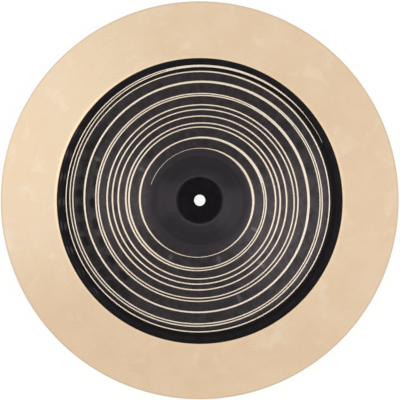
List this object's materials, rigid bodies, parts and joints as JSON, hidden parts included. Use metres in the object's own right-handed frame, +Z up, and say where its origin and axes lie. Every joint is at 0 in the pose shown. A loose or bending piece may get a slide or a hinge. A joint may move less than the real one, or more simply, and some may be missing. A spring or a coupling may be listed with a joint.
{
  "type": "china cymbal",
  "caption": "Round china cymbal with a flat-topped bell, a dark bow with spiral lathe cuts and a wide upturned brilliant flange.",
  "frame": {"origin": "on the cymbal's axis, in the plane of the flat ring that it rests on", "axes": "+Z up the cymbal's axis and out of the top of the bell, +Y towards the top of the picture"},
  "size_m": [0.4572, 0.4572, 0.041],
  "materials": {
    "bronze": "bell bronze, buffed brilliant on the flange, dark and raw on the bell and bow, bright where the lathe has cut it"
  },
  "bodies": {
    "root": {"cymbal": "bronze"}
  },
  "joints": []
}
